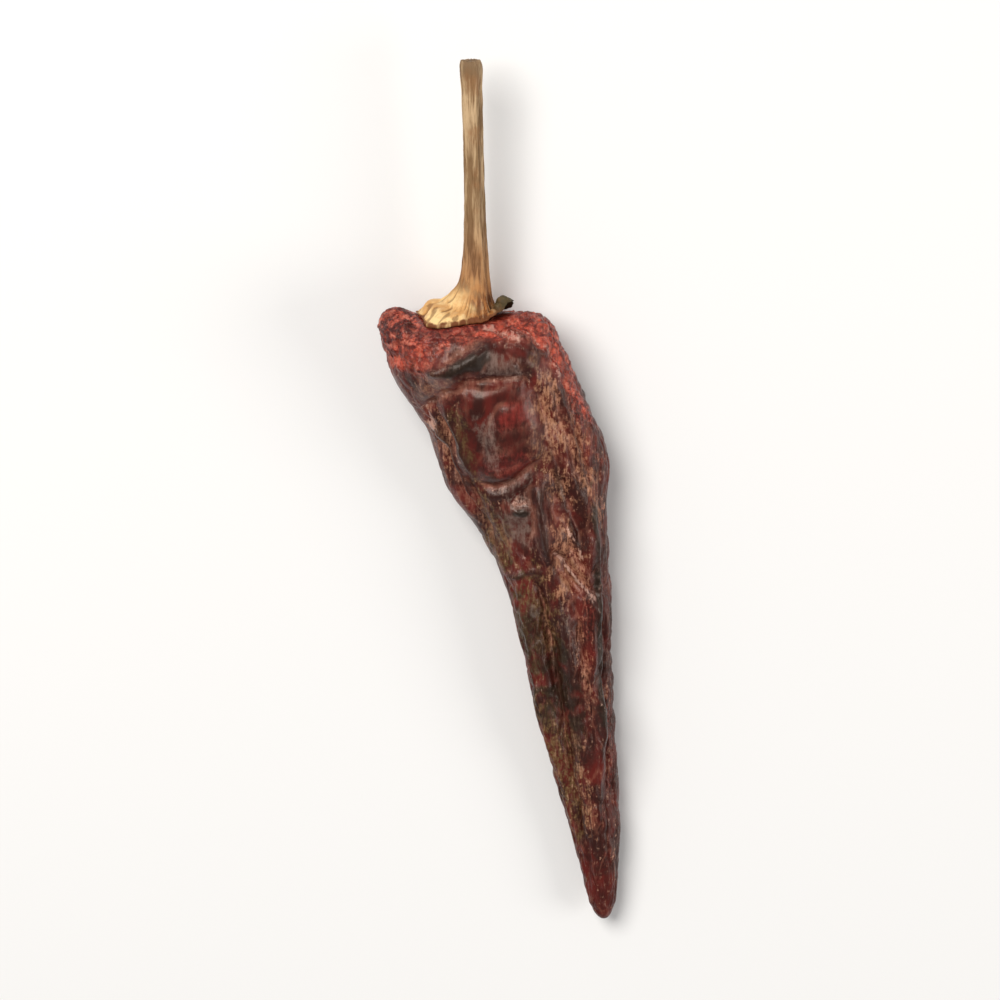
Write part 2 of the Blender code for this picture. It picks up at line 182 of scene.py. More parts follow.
# Narrow raised creases between the cells: the cells they follow, and how high and wide they stand
CREASED = [(BODY_CRUMPLE[0], 0.3, 0.055), (BODY_CRUMPLE[1], 0.24, 0.09), (Crumple(2.4, 1.6, 0.0), 0.14, 0.13)]
LONG_CREASED = [(Crumple(2.1, 5.5, 0.0), 0.42, 0.16), (Crumple(1.2, 5.0, 0.0), 0.24, 0.2)]
LONG_LOW_DOWN = (38.0, 60.0)
LONG_ON_RIGHT = (9.0, 14.0)
RIM_CREASED = [(Crumple(1.9, 0.8, 0.0), 0.5, 0.18), (Crumple(0.95, 0.9, 0.0), 0.32, 0.22)]
FINE_FOLDS = [
    Fold([(-6.2, -9.2), (-3.4, -7.6), (-1.0, -6.2), (0.6, -4.7)], 1.0, 0.45),
    Fold([(-5.0, -10.5), (-2.4, -9.3), (0.0, -8.0), (1.9, -6.1)], -2.2, 0.7),
    Fold([(-1.4, -9.6), (1.2, -9.0)], -1.0, 0.9),
    Fold([(-10.8, -10.2), (-7.8, -10.0), (-5.6, -10.2)], -0.8, 0.3),
    Fold([(-4.2, -13.2), (-1.0, -12.3), (3.6, -12.4), (7.2, -11.4)], 0.6, 0.25),
    Fold([(-1.8, -14.0), (3.0, -13.9), (7.6, -12.8)], 0.4, 0.25),
    Fold([(4.8, -7.0), (7.4, -8.4), (9.2, -10.6)], 0.4, 0.3),
    Fold([(5.2, -2.0), (9.4, -4.8), (14.2, -8.8)], -0.7, 0.35),
    Fold([(3.2, -16.6), (6.6, -16.0), (9.8, -14.4)], 0.22, 0.35),
    Fold([(4.2, -20.0), (7.0, -20.2), (10.6, -18.6)], 0.3, 0.28),
    Fold([(3.4, -23.4), (6.0, -23.8), (9.0, -22.0)], 0.24, 0.35),
    Fold([(2.6, -28.2), (5.6, -27.6), (8.6, -25.4)], 0.35, 0.35),
    Fold([(4.2, -25.2), (6.8, -24.6)], -0.3, 0.3),
    Fold([(0.2, -30.8), (3.6, -31.2), (7.8, -29.3), (10.8, -26.2)], 0.6, 0.25),
    Fold([(1.8, -32.9), (5.6, -32.4), (9.0, -30.2), (11.6, -27.6)], -0.5, 0.4),
    Fold([(-10.4, -17.0), (-7.0, -15.8), (-4.4, -14.6), (-1.6, -13.2)], 1.0, 0.28),
    Fold([(-9.4, -18.2), (-7.4, -23.0), (-4.6, -28.0), (-1.6, -33.8), (1.2, -38.6)], 1.0, 0.28),
    Fold([(-7.4, -17.6), (-5.2, -22.0), (-3.6, -25.8)], 0.9, 0.25),
    Fold([(-8.4, -18.2), (-6.4, -22.8), (-3.8, -28.0), (-1.2, -33.0)], -0.9, 0.35),
    Fold([(-5.6, -16.8), (-4.0, -20.0), (-2.2, -25.4), (-0.6, -30.0)], -1.0, 0.6),
    Fold([(-1.0, -31.6), (0.8, -36.0), (3.2, -41.0)], 0.7, 0.3),
    Fold([(-0.2, -33.4), (1.8, -38.0), (4.4, -43.4)], -0.7, 0.35),
    Fold([(11.1, -12.7), (13.2, -22.4), (16.0, -31.0)], 0.25, 0.4),
    Fold([(13.0, -22.0), (14.2, -28.0), (17.0, -36.4), (19.6, -44.0)], -0.6, 0.4),
    Fold([(13.8, -10.6), (16.4, -21.3), (19.4, -31.0)], 0.5, 0.3),
    Fold([(15.8, -9.0), (18.6, -21.4), (21.6, -32.6)], 0.45, 0.3),
    Fold([(15.0, -12.0), (17.6, -20.4), (20.6, -30.0)], -0.5, 0.35),
    Fold([(6.2, -33.6), (7.6, -34.2), (9.2, -33.6)], 0.6, 0.25),
    Fold([(6.6, -35.0), (8.0, -35.4), (9.2, -35.0)], -0.6, 0.3),
    Fold([(3.2, -35.6), (4.6, -39.2), (6.4, -42.6)], 0.5, 0.35),
    Fold([(11.9, -30.6), (11.5, -35.0), (12.2, -39.6), (13.4, -44.6)], -1.0, 0.5),
    Fold([(10.6, -33.6), (10.6, -38.0), (9.4, -42.4)], 0.5, 0.35),
    Fold([(5.2, -46.6), (7.6, -46.9), (9.8, -46.3), (12.0, -46.8)], -0.8, 0.3),
    Fold([(14.3, -42.4), (17.0, -45.6), (18.6, -46.8), (21.5, -50.4)], 1.0, 0.25),
    Fold([(14.0, -44.8), (16.4, -47.6), (19.6, -50.6)], 0.6, 0.28),
    Fold([(16.2, -41.4), (18.6, -43.6), (20.6, -46.6)], 0.6, 0.25),
    Fold([(15.4, -44.6), (17.8, -47.0), (20.0, -49.4)], -0.7, 0.3),
    Fold([(21.2, -33.4), (21.7, -46.4), (22.3, -62.5), (22.8, -78.4)], -1.3, 0.5),
    Fold([(11.1, -48.8), (13.8, -62.5), (15.9, -75.8)], 0.7, 0.35),
    Fold([(9.4, -50.0), (12.2, -62.0), (15.0, -76.0)], -0.7, 0.4),
    Fold([(15.4, -52.0), (17.5, -67.8), (19.6, -83.7)], -0.6, 0.5),
    Fold([(17.6, -50.6), (19.2, -60.0), (20.4, -72.0)], 0.6, 0.3),
]
PAINTED_GLINT_LINES = [  # painted highlights on crease tops, each with its strength and half width
    Fold([(-9.2, -18.0), (-7.6, -21.6), (-5.8, -25.6)], 1.1, 0.26),
    Fold([(-6.6, -17.6), (-4.8, -21.8), (-3.0, -26.6)], 0.8, 0.2),
    Fold([(-10.4, -17.0), (-7.0, -15.6), (-4.4, -14.4)], 0.8, 0.22),
    Fold([(-1.6, -12.2), (3.0, -12.4), (7.6, -11.4)], 0.6, 0.25),
    Fold([(14.3, -42.6), (16.6, -45.6), (19.0, -48.2), (21.0, -50.6)], 1.0, 0.35),
    Fold([(16.4, -38.6), (18.6, -41.0), (19.4, -43.6)], 0.6, 0.4),
    Fold([(1.8, -2.0), (4.6, -2.6), (7.4, -4.4)], 0.9, 0.7),
    Fold([(8.0, -2.6), (11.0, -4.8), (14.0, -7.4)], 0.6, 0.6),
    Fold([(14.0, -8.4), (15.6, -12.0)], 0.5, 0.35),
    Fold([(6.2, -33.6), (8.8, -33.8)], 1.0, 0.3),
    Fold([(8.1, -43.2), (8.7, -43.4)], 1.0, 0.35),
]
VIEW_TILT = math.radians(12.0)
RIM_EDGE = [  # x, how far below the shoulder's top the crumpled rim ends there
    (-18.0, 9.0),
    (-12.0, 9.8),
    (-8.5, 10.0),
    (-6.0, 6.8),
    (-2.0, 5.2),
    (2.0, 4.2),
    (7.4, 4.8),
    (11.0, 6.4),
    (13.8, 8.6),
    (16.4, 12.0),
    (18.6, 16.0),
    (24.0, 21.0),
]
WANDER = 1.1
WANDER_LENGTH = 9.0
WANDER_SEEDS = [Vector((0.0, 0.0, 0.0)), Vector((31.0, 0.0, 0.0))]
FINE_WANDER = 0.42
FINE_WANDER_LENGTH = 3.4

# Where the skin's colour differs, as soft patches of the upper face: mostly its own tones, while the grey
# patches are painted sheen, the dark ones partly painted shade and the bright orange-red ones partly painted
# glow
TAN_PATCHES = [
    Hollow(13.8, -20.0, 3.4, 9.2, 8, 0.95),
    Hollow(10.6, -21.8, 1.6, 3.6, 0, 0.6),
    Hollow(15.0, -31.0, 2.4, 5.4, 12, 0.6),
    Hollow(19.4, -27.0, 2.4, 10.0, 12, 0.85),
    Hollow(16.0, -40.0, 3.2, 6.4, 8, 0.8),
    Hollow(17.6, -46.8, 4.0, 4.4, 10, 1.0),
    Hollow(-8.0, -13.4, 5.0, 3.2, 20, 0.6),
    Hollow(-7.0, -22.0, 1.8, 6.5, 20, 0.8),
    Hollow(19.6, -62.0, 1.4, 10.0, 5, 0.45),
    Hollow(19.6, -84.0, 1.6, 14.0, 8, 0.5),
    Hollow(23.0, -64.0, 1.2, 18.0, 4, 0.6),
]
OLIVE_PATCHES = [
    Hollow(-2.4, -23.0, 1.7, 7.2, 20, 0.75),
    Hollow(12.4, -26.6, 2.0, 3.6, 0, 0.5),
    Hollow(3.0, -39.6, 3.4, 7.0, 14, 0.9),
    Hollow(10.8, -56.0, 4.8, 12.0, 10, 1.0),
    Hollow(15.0, -78.0, 4.0, 18.0, 10, 0.8),
    Hollow(9.6, -8.4, 1.8, 2.6, -10, 0.6),
]
# The grey patches are painted sheen: the lamps' grey reflection on the waxy facets, put into the colour
PAINTED_SHEEN_PATCHES = [
    Hollow(4.8, -8.8, 6.0, 3.4, -6, 1.0),
    Hollow(-3.0, -6.4, 3.0, 0.9, -22, 1.0),
    Hollow(2.2, -22.0, 2.0, 7.0, 6, 0.8),
    Hollow(7.4, -30.2, 5.0, 1.5, 22, 0.8),
    Hollow(7.0, -37.8, 4.0, 5.0, 0, 1.0),
    Hollow(-7.0, -13.0, 4.0, 2.8, 20, 0.3),
    Hollow(15.6, -58.0, 2.4, 9.0, 8, 0.4),
]
RED_PATCHES = [
    Hollow(7.2, -17.6, 4.4, 3.0, 24, 0.95),
    Hollow(4.6, -26.8, 4.8, 3.0, 20, 0.85),
    Hollow(19.0, -22.0, 2.2, 14.0, 14, 0.9),
    Hollow(15.4, -41.0, 3.4, 6.0, 10, 0.8),
    Hollow(11.8, -37.0, 1.6, 5.0, 0, 0.7),
    Hollow(18.4, -47.0, 2.6, 4.0, 10, 0.8),
    Hollow(20.2, -58.0, 1.6, 12.0, 5, 0.7),
    Hollow(23.6, -70.0, 1.4, 20.0, 5, 0.8),
]
# Dark patches: partly the skin's darker tone, partly painted shade in the hollow under the shoulder's lip and
# in deep creases
DARK_AND_SHADE_PATCHES = [
    Hollow(-0.9, -8.6, 3.0, 1.9, 22, 1.0),
    Hollow(-4.2, -10.0, 2.2, 0.7, 20, 0.8),
    Hollow(12.2, -37.4, 1.2, 6.0, 0, 0.4),
    Hollow(7.8, -35.6, 1.8, 0.8, 0, 0.9),
    Hollow(3.6, -35.8, 2.2, 2.4, 20, 0.55),
    Hollow(21.8, -56.0, 0.7, 24.0, 2, 0.9),
    Hollow(-1.0, -20.0, 2.2, 7.0, 14, 0.35),
    Hollow(9.0, -58.0, 3.0, 12.0, 10, 0.6),
    Hollow(15.4, -68.0, 4.2, 10.0, 8, 0.8),
]
WINE_PATCHES = [
    Hollow(-16.0, -2.6, 3.6, 5.2, 0, 1.0),
    Hollow(-8.0, -3.4, 4.0, 1.8, 10, 0.6),
    Hollow(3.2, -5.6, 2.4, 1.4, 0, 0.4),
    Hollow(12.2, -42.6, 1.8, 5.0, 6, 0.6),
]
# Bright orange-red shoulder patches: partly the skin's redder tone, partly painted glow and highlight where
# light shines through and off the thin rim
FLUSHED_AND_GLOW_PATCHES = [
    Hollow(4.8, -3.0, 4.8, 2.2, 0, 1.0),
    Hollow(12.4, -6.2, 3.0, 3.4, 30, 0.8),
    Hollow(-12.2, -8.0, 3.4, 1.8, 0, 0.8),
    Hollow(18.0, -15.0, 1.4, 5.0, 16, 0.25),
]
PATCH_EDGE = (0.35, 1.35)
# How many points away a crest's height is compared with, and the height that counts as full
NEAR_POINTS = 4
WIDE_POINTS = 14
FULL_CREST = 0.32
FULL_FOLD = 1.6
FULL_RIDGE = 0.6
FULL_CLEFT = 0.8

# The calyx's outline, under which the skin stays smooth: teeth as an angle and how far each stands out
CALYX_RADIUS = 7.0
CALYX_TEETH = [(136, 4.4), (178, 3.6), (92, -0.4), (58, -0.9), (10, -0.4), (-70, 1.0), (-140, 1.6)]
CALYX_TOOTH_WIDTH = 23.0
SMOOTH_MARGIN = (0.2, 1.4)


def smooth_step(low, high, value):
    share = np.clip((value - low) / (high - low), 0.0, 1.0)
    return share * share * (3.0 - 2.0 * share)


def along_table(table, column, at):
    """A smooth curve through one column of a table, read at the first column's values `at`."""
    knots = np.array([row[0] for row in table], float)
    values = np.array([row[column] for row in table], float)
    slopes = np.gradient(values, knots)
    i = np.clip(np.searchsorted(knots, at) - 1, 0, len(knots) - 2)
    step = knots[i + 1] - knots[i]
    t = np.clip((at - knots[i]) / step, 0.0, 1.0)
    return (
        (2 * t**3 - 3 * t**2 + 1) * values[i]
        + (t**3 - 2 * t**2 + t) * step * slopes[i]
        + (3 * t**2 - 2 * t**3) * values[i + 1]
        + (t**3 - t**2) * step * slopes[i + 1]
    )


def read_points(mesh):
    points = np.empty(len(mesh.vertices) * 3, np.float32)
    mesh.vertices.foreach_get("co", points)
    return points.reshape(-1, 3).astype(float)


def write_points(mesh, points):
    mesh.vertices.foreach_set("co", points.astype(np.float32).ravel())
    mesh.update()


def read_normals(mesh):
    normals = np.empty(len(mesh.vertices) * 3, np.float32)
    mesh.vertex_normals.foreach_get("vector", normals)
    return normals.reshape(-1, 3).astype(float)


def globe(name, around, along):
    """A globe of quads to be reshaped, and each point's share from pole to pole and angle round it."""
    shell = bmesh.new()
    bmesh.ops.create_uvsphere(shell, u_segments=around, v_segments=along, radius=1.0)
    mesh = bpy.data.meshes.new(name)
    shell.to_mesh(mesh)
    shell.free()
    points = read_points(mesh)
    return mesh, np.arccos(np.clip(points[:, 2], -1.0, 1.0)) / math.pi, np.arctan2(points[:, 1], points[:, 0])


def blurred(values, share, angle, around, along, reach):
    """Values on a globe's rings averaged over `reach` steps each way, for telling a crest from a dip."""
    ring = np.rint(share * along).astype(int)
    column = np.rint((angle / (2 * math.pi)) * around).astype(int) % around
    grid = np.zeros((along + 1, around))
    grid[ring, column] = values
    grid[0], grid[-1] = grid[1], grid[-2]
    smooth = np.zeros_like(grid)
    weights = 0.0
    for step in range(-reach, reach + 1):
        weight = 1.0 - abs(step) / (reach + 1.0)
        weights += weight
        smooth += weight * np.roll(grid, step, axis=1)
    smooth /= weights
    padded = np.pad(smooth, ((reach, reach), (0, 0)), mode="edge")
    grid = sum(
        (1.0 - abs(step) / (reach + 1.0)) * padded[reach + step : reach + step + along + 1]
        for step in range(-reach, reach + 1)
    ) / weights
    return grid[ring, column]


def lobe_rise(x, height):
    """How far the shoulder swells up round the calyx, beyond its smooth profile."""
    rise = np.zeros(len(x))
    for lobe in LOBES:
        away = ((x - lobe.x) / lobe.half_width) ** 2 + ((height - lobe.height) / lobe.half_height) ** 2
        rise += lobe.rise * np.exp(-away)
    return rise


def pod_body(share, angle):
    """The plump pod before its skin folds: its points, and how far down the pod they are."""
    on_top = np.clip(share / SHOULDER_SHARE, 0.0, 1.0)
    down = np.clip((share - SHOULDER_SHARE) / (1.0 - SHOULDER_SHARE), 0.0, 1.0)
    distance = POD_LENGTH * (1.0 - (1.0 - down) ** TIP_CROWDING)
    scale = along_table(SHOULDER, 1, on_top)
    rise = along_table(SHOULDER, 2, on_top)

    x = along_table(MIDDLE, 1, distance)
    y = along_table(MIDDLE, 2, distance)
    ahead = distance + 0.5
    lean = np.arctan2(along_table(MIDDLE, 1, ahead) - x, y - along_table(MIDDLE, 2, ahead))
    lean = LEAN_SHARE * lean * smooth_step(*LEAN_REACH, distance)
    half_width = along_table(SECTION, 1, distance)
    half_depth = along_table(SECTION, 2, distance)
    back = along_table(SECTION, 3, distance)
    to_tip = np.clip((POD_LENGTH - distance) / TIP_ROUNDING, 0.0, 1.0)
    closing = np.sqrt(1.0 - (1.0 - to_tip) ** 2)

    power = 2.0 / SECTION_POWER
    across = np.sign(np.cos(angle)) * np.abs(np.cos(angle)) ** power * half_width * scale * closing
    upward = np.sign(np.sin(angle)) * np.abs(np.sin(angle)) ** power * half_depth * scale * closing
    to_stalk = (1.0 - scale) * -MIDDLE[0][1]
    x = x + to_stalk + across * np.cos(lean)
    rise = rise + lobe_rise(x, upward) * (1.0 - smooth_step(0.0, LOBE_REACH, distance))
    return np.stack([x, y + rise + across * np.sin(lean), back + half_depth + upward], axis=1), distance


def from_line(points, line):
    """Distance of flat points from a broken line, and their share of the way along it."""
    nearest = np.full(len(points), np.inf)
    share = np.zeros(len(points))
    for n, (start, end) in enumerate(zip(line, line[1:])):
        start, end = np.array(start), np.array(end)
        run = end - start
        t = np.clip((points - start) @ run / (run @ run), 0.0, 1.0)
        distance = np.linalg.norm(points - start - t[:, None] * run, axis=1)
        closer = distance < nearest
        nearest = np.where(closer, distance, nearest)
        share = np.where(closer, (n + t) / (len(line) - 1), share)
    return nearest, share


def from_hollow(points, hollow):
    """How far flat points lie from a hollow's middle, with 1 at its edge."""
    lean = math.radians(hollow.lean)
    across = (points[:, 0] - hollow.x) * math.cos(lean) + (points[:, 1] - hollow.y) * math.sin(lean)
    along = (points[:, 1] - hollow.y) * math.cos(lean) - (points[:, 0] - hollow.x) * math.sin(lean)
    return np.sqrt((across / hollow.half_width) ** 2 + (along / hollow.half_length) ** 2)


def fold_height(points, folds, hollows):
    """Height of one face's folds and sunken panels at flat points."""
    height = np.zeros(len(points))
    for fold in folds:
        distance, share = from_line(points, fold.line)
        fade = np.clip(FOLD_AT_ENDS + 4.0 * share * (1.0 - share), 0.0, 1.0)
        side = np.sqrt(distance**2 + FOLD_ROUNDING**2) - FOLD_ROUNDING
        height += fold.height * fade * np.exp(-side / fold.width)
    for hollow in hollows:
        height -= hollow.depth * (1.0 - smooth_step(*HOLLOW_EDGE, from_hollow(points, hollow)))
    return height


def cell_reach(points, crumple, seed):
    """For points on skin that shrank in cells: how far the nearest cell's middle is, and the next one's."""
    cells = points / [crumple.cell, crumple.cell * crumple.stretch, crumple.cell] + [seed, 0.0, 0.0]
    reach = np.array([noise.voronoi(Vector(cell))[0][:2] for cell in cells])
    return reach[:, 0], reach[:, 1]


def crumpled(points, crumple, seed):
    """Sunken cells between raised edges, all over the skin."""
    near, second = cell_reach(points, crumple, seed)
    return crumple.depth * (np.minimum(near, 0.9) ** 2 * 1.6 - 0.35 * np.minimum(second - near, 0.8))


def creased(points, creases, seed):
    """Narrow creases that stand up where cells of the skin meet."""
    height = np.zeros(len(points))
    for n, (crumple, rise, width) in enumerate(creases):
        near, second = cell_reach(points, crumple, seed + 7.0 * n)
        height += rise * (np.exp(-(second - near) / width) - 0.25)
    return height


def strayed_by(points, amount, length, seeds, octaves):
    """Points strayed a little across and along the pod, so that no fold runs dead straight."""
    strayed = points.copy()
    for n, point in enumerate(points):
        at = Vector(point) / length
        strayed[n, :2] += [amount * noise.fractal(at + seed, 0.8, 2.3, octaves) for seed in seeds]
    return strayed


def noise_at(points, length, seed=0.0):
    return np.array([noise.noise(Vector(point) / length + Vector((seed, 0.0, 0.0))) for point in points])


def turned_from(angle, at):
    """How far angles are turned from one angle, the short way round."""
    return np.angle(np.exp(1j * (angle - at)))


def calyx_edge(angle):
    """Radius of the calyx's toothed rim at an angle round the stalk."""
    edge = np.full(len(angle), CALYX_RADIUS)
    for at, reach in CALYX_TEETH:
        off = turned_from(angle, math.radians(at)) / math.radians(CALYX_TOOTH_WIDTH)
        edge += reach * np.exp(-(off**2))
    return edge


pod_mesh, share, angle = globe("chilli_pod", POD_AROUND, POD_ALONG)
plump, distance = pod_body(share, angle)
write_points(pod_mesh, plump)
outward = read_normals(pod_mesh)

# The upper face's folds and tones are placed as the camera sees them, so a higher point counts as nearer
# the tip
axis_height = SECTION[0][3] + SECTION[0][2]
seen = plump.copy()
seen[:, 1] = plump[:, 1] * math.cos(VIEW_TILT) - (plump[:, 2] - axis_height) * math.sin(VIEW_TILT)
strayed = strayed_by(plump, WANDER, WANDER_LENGTH, WANDER_SEEDS, 2)
strayed_seen = seen[:, :2] + strayed[:, :2] - plump[:, :2]
upper = smooth_step(*UPPER_FACE, np.sin(angle))
folds = upper * fold_height(strayed_seen, UPPER_FOLDS, UPPER_HOLLOWS)
folds += (1.0 - upper) * fold_height(strayed[:, :2], LOWER_FOLDS, LOWER_HOLLOWS)

past_rim = -seen[:, 1] - along_table(RIM_EDGE, 1, seen[:, 0])
past_rim += RIM_RAGGED * noise_at(plump, RIM_RAGGED_LENGTH, 2.0)
rim = 1.0 - smooth_step(*RIM_FADE, past_rim)
rim = upper * rim + (1.0 - upper) * (1.0 - smooth_step(*RIM_REACH, distance))
thin = RELIEF_AT_TIP + (1.0 - RELIEF_AT_TIP) * smooth_step(POD_LENGTH, POD_LENGTH * THINS_FROM, distance)
from_panels = np.minimum.reduce([from_hollow(seen, smooth) for smooth in SMOOTH_PANELS])
panel = upper * (1.0 - smooth_step(*PANEL_EDGE, from_panels))
crumples = sum(crumpled(strayed, crumple, 7.0 * n) for n, crumple in enumerate(BODY_CRUMPLE))
relief = folds + (1.0 - 0.5 * rim) * (1.0 - 0.8 * panel) * crumples * thin
relief += rim * crumpled(strayed, RIM_CRUMPLE, 3.0)
relief *= 1.0 - TAUT_SIDES * smooth_step(*TAUT_FROM, np.abs(np.cos(angle)))

finely_strayed = strayed_by(plump, FINE_WANDER, FINE_WANDER_LENGTH, WANDER_SEEDS, 3)
busy = smooth_step(-0.3, 0.25, noise_at(plump, 10.0, 5.0))
low_down = smooth_step(*LONG_LOW_DOWN, distance)
on_right = smooth_step(*LONG_ON_RIGHT, plump[:, 0] - 0.25 * distance)
lengthwise = np.maximum(low_down, on_right)
finely_seen = seen[:, :2] + finely_strayed[:, :2] - plump[:, :2]
ridges = upper * fold_height(finely_seen, [fold for fold in FINE_FOLDS if fold.height > 0.0], [])
clefts = upper * fold_height(finely_seen, [fold for fold in FINE_FOLDS if fold.height < 0.0], [])
relief += ridges + clefts
crease_share = (1.0 - rim) * (0.2 + 0.8 * busy) * (1.0 - 0.85 * panel) * thin
relief += crease_share * creased(finely_strayed, CREASED, 0.0)
long_share = (1.0 - rim) * (1.0 - 0.8 * panel) * lengthwise * (0.4 + 0.6 * thin)
relief += long_share * creased(finely_strayed, LONG_CREASED, 40.0)
relief += rim * creased(finely_strayed, RIM_CREASED, 60.0)

calyx_height = plump[:, 2] - axis_height
past_calyx = np.hypot(plump[:, 0], calyx_height) - calyx_edge(np.arctan2(calyx_height, plump[:, 0]))
clear = np.maximum(smooth_step(*SMOOTH_MARGIN, past_calyx), smooth_step(*SMOOTH_MARGIN, distance))
relief *= clear * smooth_step(0.0, TIP_ROUNDING, POD_LENGTH - distance)

# Crests level off at the limit, and nothing goes below the table
points = plump + outward * relief[:, None]
above = np.maximum(points[:, 2] - CREST_LIMIT[0], 0.0)
room = CREST_LIMIT[1] - CREST_LIMIT[0]
points[:, 2] = np.maximum(points[:, 2] - above + room * np.tanh(above / room), 0.0)
pod_low, pod_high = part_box("pod")
stalk_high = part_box("stalk")[1]
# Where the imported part's origin is, in the chilli's own millimetres
ORIGIN = np.array(
    [
        (points[:, 0].min() + points[:, 0].max()) / 2.0 - (pod_low[0] + pod_high[0]) / 2.0 / MM,
        STALK_LENGTH - stalk_high[1] / MM,
        0.0,
    ]
)
write_points(pod_mesh, (points - ORIGIN) * MM)
pod_mesh.shade_smooth()


def set_attribute(mesh, name, values):
    mesh.attributes.new(name, "FLOAT", "POINT").data.foreach_set("value", values.astype(np.float32))


def patch_strength(points, patches, wobble):
    strength = np.zeros(len(points))
    for patch in patches:
        away = from_hollow(points, patch) + wobble
        strength = np.maximum(strength, patch.depth * (1.0 - smooth_step(*PATCH_EDGE, away)))
    return strength


# What the finish reads at each point: crests and hollows of the relief, from which painted highlights and
# painted shade are taken, and the patches of tone, which fray at their edges
crest = relief - blurred(relief, share, angle, POD_AROUND, POD_ALONG, NEAR_POINTS)
wide_crest = relief - blurred(relief, share, angle, POD_AROUND, POD_ALONG, WIDE_POINTS)
wobble = 0.8 * noise_at(plump, 3.4, 9.0) + 0.6 * noise_at(plump, 1.3, 14.0)
set_attribute(pod_mesh, "crest", np.clip(crest / FULL_CREST, -1.0, 1.0))
set_attribute(pod_mesh, "fold", np.clip(wide_crest / FULL_FOLD, -1.0, 1.0))
set_attribute(pod_mesh, "rim", rim)
set_attribute(pod_mesh, "panel", panel)
set_attribute(pod_mesh, "ridge", np.clip(ridges / FULL_RIDGE, 0.0, 1.0))
set_attribute(pod_mesh, "cleft", np.clip(-clefts / FULL_CLEFT, 0.0, 1.0))
# Painted highlights: how strongly each point lies on a glint line, to be lightened in the skin's colour
painted_glint = np.zeros(len(points))
for pale in PAINTED_GLINT_LINES:
    away = from_line(finely_seen, pale.line)[0] / pale.width
    painted_glint = np.maximum(painted_glint, pale.height * np.exp(-(away**2)))
set_attribute(pod_mesh, "painted_glint", upper * painted_glint)
for name, patches in (
    ("tan", TAN_PATCHES),
    ("olive", OLIVE_PATCHES),
    ("grey", PAINTED_SHEEN_PATCHES),
    ("red", RED_PATCHES),
    ("dark", DARK_AND_SHADE_PATCHES),
    ("wine", WINE_PATCHES),
    ("flushed_and_glow", FLUSHED_AND_GLOW_PATCHES),
):
    set_attribute(pod_mesh, name, upper * patch_strength(seen, patches, wobble))


class Value:
    """A shader socket in Python arithmetic: an expression on values adds its Math nodes."""

    def __init__(self, finish, socket):
        self.finish = finish
        self.socket = socket

    def maths(self, operation, *terms):
        return self.finish.node("Math", {"operation": operation}, dict(enumerate(terms)))

    def __add__(self, other):
        return self.maths("ADD", self, other)

    def __sub__(self, other):
        return self.maths("SUBTRACT", self, other)

    def __rsub__(self, other):
        return self.maths("SUBTRACT", other, self)

    def __mul__(self, other):
        return self.maths("MULTIPLY", self, other)

    __radd__ = __add__
    __rmul__ = __mul__


class Finish:
    """One material in the making, with a method that adds any node."""

    def __init__(self, name):
        self.material = bpy.data.materials.new(name)
        self.material.use_nodes = True
        self.nodes = self.material.node_tree.nodes
        self.shader = self.nodes["Principled BSDF"]

    def fill(self, node, sockets):
        for name, value in sockets.items():
            if isinstance(value, Value):
                self.material.node_tree.links.new(value.socket, node.inputs[name])
            else:
                node.inputs[name].default_value = value

    def node(self, kind, settings, sockets, output=0):
        """Adds a node: first its settings, such as a Math node's operation, then what goes into it."""
        node = self.nodes.new("ShaderNode" + kind)
        for name, setting in settings.items():
            setattr(node, name, setting)
        self.fill(node, sockets)
        return Value(self, node.outputs[output])

    def attribute(self, name):
        return self.node("Attribute", {"attribute_name": name}, {}, "Fac")

    def place(self):
        return self.node("TexCoord", {}, {}, "Object")

    def noise(self, scale, detail=3.0, roughness=0.55, distortion=0.0, vector=None):
        sockets = {"Scale": scale, "Detail": detail, "Roughness": roughness, "Distortion": distortion}
        return self.node("TexNoise", {}, {**sockets, "Vector": vector or self.place()})

    def between(self, value, low, high):
        """Smoothly 0 below `low` and 1 above `high`."""
        settings = {"interpolation_type": "SMOOTHSTEP"}
        return self.node("MapRange", settings, {"Value": value, "From Min": low, "From Max": high})

    def mixed(self, share, first, second):
        return self.node("Mix", {"data_type": "RGBA"}, {0: share, 6: first, 7: second}, 2)


def tint(red, green, blue):
    """A colour named by its screen values, as the light that Blender reckons in."""
    levels = (red / 255, green / 255, blue / 255)
    return (*(((c + 0.055) / 1.055) ** 2.4 if c > 0.04 else c / 12.92 for c in levels), 1.0)


